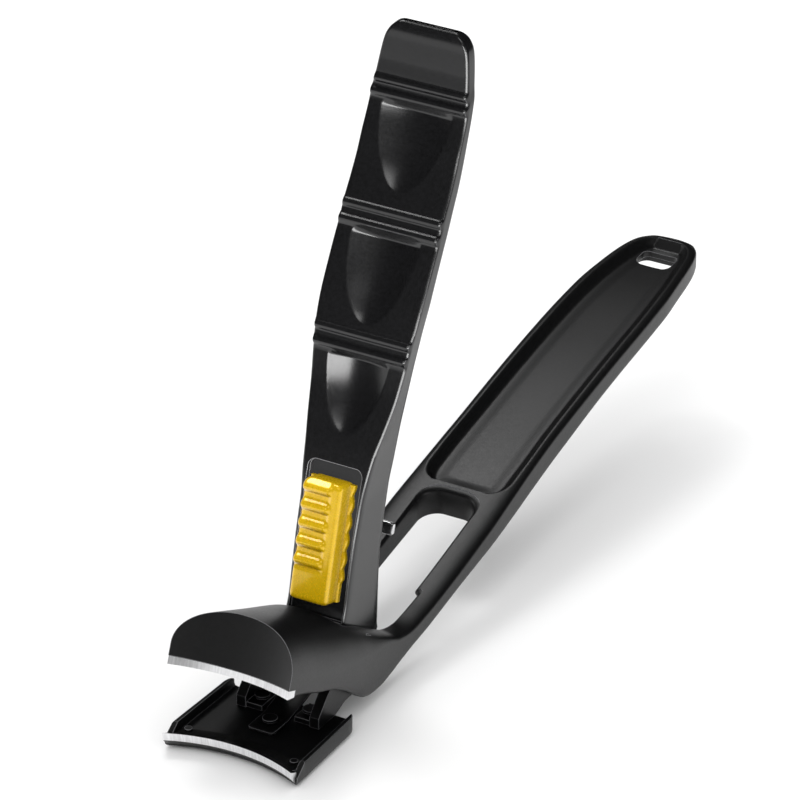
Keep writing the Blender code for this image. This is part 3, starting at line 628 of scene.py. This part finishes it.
def lever_ring(share, across_steps=72, side_steps=10):
    front, back = lever_line(LEVER_FRONT, share), lever_line(LEVER_BACK, share)
    step = 0.004
    along = (lever_line(LEVER_FRONT, min(share + step, 1)) - lever_line(LEVER_FRONT, max(share - step, 0)))
    out = Vector((0, -along.z, along.y)).normalized()
    half = hermite(LEVER_WIDTHS, front.z, 1)
    round_front, round_back = 0.35, 0.5
    ring = []
    for x in spread(-(half - round_front), half - round_front, across_steps):
        lift = rib_height(front.z) - dish_depth(x, front.z)
        ring.append(front + Vector((x, 0, 0)) + out * lift)
    depth = (back - front)
    thick = depth.length
    inward = depth / thick
    rib = rib_height(front.z)
    for a in (30, 60, 90):
        turn = math.radians(a)
        ring.append(front + Vector((half - round_front + round_front * math.sin(turn), 0, 0))
                    + out * rib * math.cos(turn) + inward * round_front * (1 - math.cos(turn)))
    flat = thick - round_back - round_front
    for share_side in spread(0.12, 0.88, side_steps):
        ring.append(front + Vector((half, 0, 0)) + inward * (round_front + flat * share_side))
    for a in (0, 30, 60, 90):
        turn = math.radians(a)
        ring.append(front + Vector((half - round_back + round_back * math.cos(turn), 0, 0))
                    + inward * (thick - round_back + round_back * math.sin(turn)))
    right = ring[across_steps:]
    middle = [back + Vector((x, 0, 0)) for x in spread(half - round_back, round_back - half, 12)[1:-1]]
    left = [Vector((-point.x, point.y, point.z)) for point in reversed(right)]
    return ring + middle + left


def make_lever(material):
    shares = spread(0.0, 0.32, 90) + spread(0.3215, 0.93, 560) + spread(0.931, 1.0, 60)
    rings = [lever_ring(share) for share in shares]
    lever = build("visual_lever", loft(rings))
    boolean(lever, slider_channel(3.75, -0.8, 4.0, -SLIDER_LENGTH / 2 - 2.25, SLIDER_LENGTH / 2 + 1.75))
    boolean(lever, slider_prism(1.35, -14, 4.0, STUD_ALONG[0] - 0.4, STUD_ALONG[1] + 1.8))
    foot = [(18.4, 9.6), (17.4, 6.5), (15.6, 5.6), (15.5, 3.6), (16.6, 2.7), (20.6, 2.7), (24.5, 3.6),
            (27.0, 5.0), (28.1, 6.4), (27.5, 9.6)]
    boolean(lever, prism(foot, -4.13, 4.13), "UNION")
    boolean(lever, rod(1.25, -12, 12, *LEVER_PIVOT))
    py, pz = DRIVE_PIN_AT
    drive = arc((py + 2.6, pz), 1.26, -90, 90, 16) + arc((py, pz), 1.26, 90, 270, 16)
    boolean(lever, prism(drive, -12, 12))
    fork = [(10, -2), (24.2, -2), (24.2, 6.6), (22.9, 9.3), (19.4, 9.3), (17.6, 6.8), (13, 8.2), (10, 8.2)]
    boolean(lever, prism(fork, -2.15, 2.15))
    smooth(lever, 35)
    done(lever, material, "lever", ["lever"])


# ---------------------------------------------------------------- the slider
def slider_point(x, along, out):
    y, z = SLIDER_CENTRE
    return Vector((x, y + along * math.sin(SLIDER_TILT) - out * math.cos(SLIDER_TILT),
                   z + along * math.cos(SLIDER_TILT) + out * math.sin(SLIDER_TILT)))


def slider_prism(half, inner, outer, low, high):
    corners = [(low, inner), (high, inner), (high, outer), (low, outer)]
    return loft([[slider_point(x, a, o) for a, o in corners] for x in (-half, half)])


def slider_channel(half, inner, outer, low, high):
    """The slider's channel, with rounded corners at its top."""
    radius = 1.0
    outline = [(-half, low), (half, low)] + arc((half - radius, high - radius), radius, 0, 90, 8)
    outline += arc((-half + radius, high - radius), radius, 90, 180, 8)
    return loft([[slider_point(x, a, out) for x, a in outline] for out in (inner, outer)])


def make_slider(material):
    """The button: a rounded block with five ribs that stop short of its right side, and a flat pad."""
    half_length = SLIDER_LENGTH / 2
    left_round, right_round = 0.5, 0.45
    ribs = [half_length - 1.0 - RIB_PITCH * i for i in range(5)]
    # how far the sides draw in near each end, by the distance from it
    ends = [(0.0, 0.55), (0.05, 0.32), (0.16, 0.16), (0.32, 0.05), (0.55, 0.0)]
    stations = [(-half_length + a, b) for a, b in ends]
    stations += [(a, 0.0) for a in spread(-half_length + 0.7, half_length - 0.7, 190)]
    stations += [(half_length - a, b) for a, b in reversed(ends)]
    rings = []
    for along, inset in stations:
        edge = SLIDER_HALF - inset
        top = SLIDER_PROUD - inset * 0.9
        wave = sum(bump(along, rib, 0.9) for rib in ribs)
        rise = 0.8 * wave - 0.35 * ramp(along, ribs[-1] - 1.3, ribs[-1] - 0.6)
        ring = [slider_point(-edge, along, -0.5)]
        ring += [slider_point(-edge, along, out) for out in spread(0.0, top - left_round, 5)]
        for a in (15, 30, 45, 60, 75):
            x = -edge + left_round - left_round * math.cos(math.radians(a))
            drop = left_round - left_round * math.sin(math.radians(a))
            ring.append(slider_point(x, along, top - drop + rise * (1 - drop)))
        for x in spread(-edge + left_round, edge - right_round, 44):
            fade = 1 - ramp(x, 1.05 - 0.25 * (1 - wave), 1.55)
            ring.append(slider_point(x, along, top + rise * fade))
        for a in (15, 30, 45, 60, 75, 90):
            x = edge - right_round + right_round * math.sin(math.radians(a))
            ring.append(slider_point(x, along, top - right_round + right_round * math.cos(math.radians(a))))
        ring += [slider_point(edge, along, out) for out in spread(top - 0.7, 0.0, 5)]
        ring.append(slider_point(edge, along, -0.5))
        rings.append(ring)
    button = build("visual_slider", loft(rings))
    boolean(button, slider_flange(), "UNION")
    smooth(button, 40)
    # the head's coat does not mirror the button
    button.visible_glossy = False
    done(button, material, "slider", ["slider_button"])


def slider_flange():
    """The flange in the channel, with five rounded teeth along each edge."""
    low, high = -SLIDER_LENGTH / 2 + 0.2, SLIDER_LENGTH / 2 - 0.2
    right = []
    for along in spread(low, high, 90):
        tooth = abs(math.sin(math.pi * (along - low + 0.4) / RIB_PITCH))
        body = ramp(along, low + 2.2, low + 2.9)
        right.append((2.85 + 0.28 * tooth * body, along))
    outline = right + [(-x, a) for x, a in reversed(right)]
    levels = [(0.0, -0.6), (0.0, -0.25), (0.1, -0.05), (0.3, 0.05)]
    return loft([[slider_point(x * (1 - inset / 3.5), a, out) for x, a in outline] for inset, out in levels])


def rounded_share(value):
    """Turns a circle's cosine or sine into a squarer outline's."""
    return math.copysign(abs(value) ** 0.5, value)


def make_stud(material):
    """The lock stud's neck and its rounded cross head."""
    low, high = STUD_ALONG
    stud = build("visual_lock_stud", slider_prism(1.05, STUD_OUT, -0.15, low + 0.1, high - 0.1))
    right = [(3.9, 1.0), (4.15, 0.95), (4.3, 0.8), (STUD_HALF, 0.55)]
    rings = []
    for x, share in [(-x, share) for x, share in reversed(right)] + right:
        ring = []
        for i in range(32):
            a = 2 * math.pi * i / 32
            along = (low + high) / 2 + 0.8 * share * rounded_share(math.cos(a))
            ring.append(slider_point(x, along, STUD_OUT + 0.4 * share * rounded_share(math.sin(a))))
        rings.append(ring)
    boolean(stud, loft(rings), "UNION")
    smooth(stud, 35)
    done(stud, material, "slider", ["lock_stud"])


# ---------------------------------------------------------------- the blades and the lower jaw
def arc_band(half, edge, profile_at, steps=96):
    """A piece that follows the bite's curve: profile_at(y) gives a closed y, z profile for each x."""
    radius = (half ** 2 + BITE_DEPTH ** 2) / (2 * BITE_DEPTH)
    rings = []
    for x in spread(-half, half, steps):
        bow = BITE_DEPTH - (radius - math.sqrt(radius ** 2 - x ** 2))
        rings.append([(x, y, z) for y, z in profile_at(edge[0] + bow)])
    return loft(rings)


def make_upper_blade(material):
    """A plate across the front of the head, narrower behind so that it lies between the head's walls."""
    thin = BAND_HEIGHT - 0.7
    corners = ((-3.0, 0.0), (-3.0, BAND_HEIGHT), (BLADE_LENGTH, BAND_HEIGHT), (BLADE_LENGTH, thin),
               (3.0, thin))
    profile = [along_head(*UPPER_EDGE, back, up) for back, up in corners]
    blade = build("visual_upper_blade", prism(profile, -8.35, 8.35))
    for low, high in ((-12, -SHANK_HALF), (SHANK_HALF, 12)):
        boolean(blade, prism(head_box(BLADE_LIP, 9.0, -4.0, 4.0), low, high))
    boolean(blade, bite_cylinder(UPPER_EDGE, HEAD_TILT, 8.4))
    smooth(blade, 30)
    nodes = ["upper_blade", "upper_blade_pin_left", "upper_blade_pin_right"]
    done(blade, material, "body", nodes)


def make_lower_blade(material):
    """A strip that follows the tray's curved front, with its ground edge turned up."""
    z = LOWER_EDGE[1]
    inner = TRAY_FLOOR + GAP

    def profile(y):
        return [(y, z), (y + 0.2, 1.2), (y + 0.95, 0.35), (y + 0.95, inner), (y + 3.1, inner),
                (y + 3.1, inner + 0.3), (y + 1.5, inner + 0.5), (y + 0.5, z - 0.25)]

    blade = build("visual_lower_blade", arc_band(9.0, LOWER_EDGE, profile))
    inner_half = TRAY_HALF - TRAY_WALL - GAP
    for side in (-1, 1):
        corner = [(side * inner_half, 0.8), (side * 9.6, 0.8), (side * 9.6, 12), (side * inner_half, 12)]
        boolean(blade, prism(corner, 0.6, 6, "Z"))
    smooth(blade, 25)
    done(blade, material, "jaw", ["lower_blade"])


def tray_outline(inset, front, rear):
    """Plan outline of the lower jaw, drawn in from its sides by an inset."""
    front_half, rear_half = TRAY_HALF - inset, TRAY_HALF - TRAY_TAPER - inset
    corner = 2.0 - inset / 2
    right = [(front_half + (rear_half - front_half) * ramp(y, 0, rear), y)
             for y in spread(front, rear - corner - 0.1, 24)]
    right += arc((rear_half - corner, rear - corner), corner, 0, 90, 16)
    return right + [(-x, y) for x, y in reversed(right)]


def make_lower_jaw(material):
    """The tray: a shallow pan with a rounded rim, which runs down to the blade's corners."""
    outside = [(0.5, 0.0), (0.2, 0.06), (0.05, 0.2), (0.0, 0.5), (0.0, TRAY_HEIGHT - 0.2),
                   (0.06, TRAY_HEIGHT - 0.06), (0.2, TRAY_HEIGHT)]
    rings = [[(x, y, z) for x, y in tray_outline(inset, LOWER_EDGE[0] + 0.2, TRAY_LENGTH - inset)]
             for inset, z in outside]
    tray = build("visual_lower_jaw", loft(rings))
    hollow = [(TRAY_WALL + 0.9, TRAY_FLOOR), (TRAY_WALL + 0.4, TRAY_FLOOR + 0.08),
              (TRAY_WALL + 0.1, TRAY_FLOOR + 0.3), (TRAY_WALL, TRAY_FLOOR + 0.7),
              (TRAY_WALL, TRAY_HEIGHT - 0.15), (TRAY_WALL - 0.1, TRAY_HEIGHT + 0.02), (TRAY_WALL - 0.1, 8)]
    # open at the back, where the head's underside comes down when the jaw closes
    boolean(tray, loft([[(x, y, z) for x, y in tray_outline(inset, -4, TRAY_LENGTH + 4)]
                        for inset, z in hollow]))
    boolean(tray, bite_cylinder((LOWER_EDGE[0] + 1.0, 0), 0, TRAY_HALF))
    nose = [(-3, 0.7), (LOWER_EDGE[0] + 0.6, 0.7), (LOWER_EDGE[0] + 3.0, TRAY_HEIGHT + 0.05),
            (LOWER_EDGE[0] + 3.0, 6), (-3, 6)]
    boolean(tray, prism(nose, -12, 12))
    # the side walls end in a rounded drop at the back
    y, z = TRAY_LENGTH - 1.3, TRAY_HEIGHT - 1.3
    boolean(tray, prism([(y, 6), (y + 4, 6), (y + 4, z)] + arc((y, z), 1.3, 0, 90, 14), -12, 12))
    smooth(tray, 35)
    done(tray, material, "jaw", ["lower_jaw"])


def make_spring(material):
    """The leaf spring: its front lies on the tray, and its tip bears on the lever pin's underside."""
    rings = []
    for y in spread(SPRING_LINE[0][0], SPRING_LINE[-1][0], 90):
        z = hermite(SPRING_LINE, y, 1)
        rise = hermite(SPRING_LINE, y + 0.05, 1) - hermite(SPRING_LINE, y - 0.05, 1)
        slope = Vector((0, 0.1, rise)).normalized()
        up = Vector((0, -slope.z, slope.y)) * SPRING_THICKNESS
        end = min(y - SPRING_LINE[0][0], SPRING_LINE[-1][0] - y, 0.5)
        half = SPRING_HALF - 0.5 + math.sqrt(0.25 - (0.5 - end) ** 2)
        rings.append([(-half, y, z), (half, y, z), (half, y + up.y, z + up.z), (-half, y + up.y, z + up.z)])
    spring = build("visual_return_spring", loft(rings))
    rivet_hole = arc((0, 9.6), 0.65, 0, 345, 23)
    boolean(spring, prism(rivet_hole, -1, 3, "Z"))
    round_edges(spring, 0.05, 50, 2)
    smooth(spring, 35)
    spring.data.materials.append(material)
    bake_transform(spring)
    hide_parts("return_spring")


# ---------------------------------------------------------------- stage
def make_camera():
    """Long lens, to the object's front right and above it."""
    azimuth, elevation, distance = math.radians(30.2), math.radians(28.2), 0.700
    target = Vector((0.0004, 0.0320, 0.0313))
    back = Vector((math.sin(azimuth) * math.cos(elevation), -math.cos(azimuth) * math.cos(elevation),
                   math.sin(elevation)))
    data = bpy.data.cameras.new("camera")
    data.lens = 258.3
    data.sensor_width = 36.0
    data.clip_start = 0.05
    data.clip_end = 20.0
    camera = bpy.data.objects.new("camera", data)
    camera.location = target + back * distance
    camera.rotation_mode = "QUATERNION"
    camera.rotation_quaternion = (-back).to_track_quat("-Z", "Y")
    bpy.context.scene.collection.objects.link(camera)
    bpy.context.scene.camera = camera


def softbox(name, direction, distance, size, radiance, only=None, aim=(0, 0.035, 0.03)):
    """An area light in a direction from the object, facing it. only names the pieces that it lights."""
    data = bpy.data.lights.new(name, "AREA")
    data.shape = "RECTANGLE"
    data.size, data.size_y = size
    data.energy = radiance * math.pi * size[0] * size[1]
    light = bpy.data.objects.new(name, data)
    way = Vector(direction).normalized()
    light.location = Vector(aim) + way * distance
    light.rotation_mode = "QUATERNION"
    light.rotation_quaternion = way.to_track_quat("Z", "Y")
    bpy.context.scene.collection.objects.link(light)
    if only:
        lit = bpy.data.collections.new(name + "_lights")
        for piece in only:
            lit.objects.link(bpy.data.objects[piece])
        light.light_linking.receiver_collection = lit


def make_floor():
    bm = bmesh.new()
    bmesh.ops.create_grid(bm, x_segments=4, y_segments=4, size=3.0)
    mesh = bpy.data.meshes.new("floor")
    bm.to_mesh(mesh)
    bm.free()
    floor = bpy.data.objects.new("floor", mesh)
    floor.location = (0, 0, -0.0003)
    bpy.context.scene.collection.objects.link(floor)
    material, _, shader = shader_of("floor_paint")
    shader.inputs["Base Color"].default_value = (0.92, 0.92, 0.92, 1)
    shader.inputs["Roughness"].default_value = 0.9
    shader.inputs["Specular IOR Level"].default_value = 0.1
    mesh.materials.append(material)


def make_world():
    """Pale behind the object and as fill light, but dim in its gloss, so that the softboxes shape it."""
    world = bpy.data.worlds.new("studio")
    bpy.context.scene.world = world
    world.use_nodes = True
    tree = world.node_tree
    path = tree.nodes.new("ShaderNodeLightPath")
    colour = None
    for ray, level in (("Is Diffuse Ray", FILL_LEVEL), ("Is Camera Ray", BACKDROP_LEVEL)):
        mix = tree.nodes.new("ShaderNodeMix")
        mix.data_type = "RGBA"
        mix.inputs[6].default_value = (GLOSS_LEVEL, GLOSS_LEVEL, GLOSS_LEVEL, 1)
        mix.inputs[7].default_value = (level, level, level, 1)
        tree.links.new(path.outputs[ray], mix.inputs[0])
        if colour:
            tree.links.new(colour, mix.inputs[6])
        colour = mix.outputs[2]
    tree.links.new(colour, tree.nodes["Background"].inputs["Color"])


bpy.context.scene.view_settings.view_transform = "Standard"
make_camera()
make_world()
make_floor()
softbox("back_left_box", (-0.44, 0.36, 0.82), 0.80, (0.24, 0.24), 8.0)
softbox("front_top_box", (0.02, -0.55, 0.84), 0.70, (0.34, 0.16), 4.0)

casting_coat = black_coat("casting_coat", 0.36, 0.42, 0.45, 0.12)
lever_coat = black_coat("lever_gloss", 0.22, 0.26, 0.65, 0.05)
steel_ground = ground_steel("ground_edge_steel")
steel_bright = bright_steel("bright_steel")
yellow = yellow_gloss("yellow_gloss")

make_casting(casting_coat)
make_lever(lever_coat)
make_slider(yellow)
make_stud(steel_bright)
make_upper_blade(steel_ground)
make_lower_blade(steel_ground)
make_lower_jaw(casting_coat)
make_hidden_pins(casting_coat)
make_spring(casting_coat)

for node_name in ("jaw_ear_left", "jaw_ear_right", "lower_blade_pin_left",
                  "lower_blade_pin_right", "ear_rivet_left", "ear_rivet_right", "spring_rivet"):
    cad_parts[node_name].data.materials.clear()
    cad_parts[node_name].data.materials.append(casting_coat)
for node_name in ("drive_pin", "slider_detent"):
    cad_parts[node_name].data.materials.clear()
    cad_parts[node_name].data.materials.append(steel_bright)

black_pieces = ["visual_casting", "visual_lever", "visual_lower_jaw"]
softbox("left_box", (-0.97, -0.10, 0.30), 0.70, (0.30, 0.50), 1.2, ["visual_casting", "visual_lower_jaw"])
softbox("right_strip", (0.86, -0.45, 0.10), 0.80, (0.15, 0.60), 4.0, black_pieces)
softbox("dish_card", (0.38, -0.91, 0.15), 0.50, (0.46, 0.24), 11.0, ["visual_lever"])
softbox("blade_card", (-0.44, -0.88, 0.16), 0.50, (0.45, 0.12), 1.6,
        ["visual_upper_blade", "visual_lower_blade"])
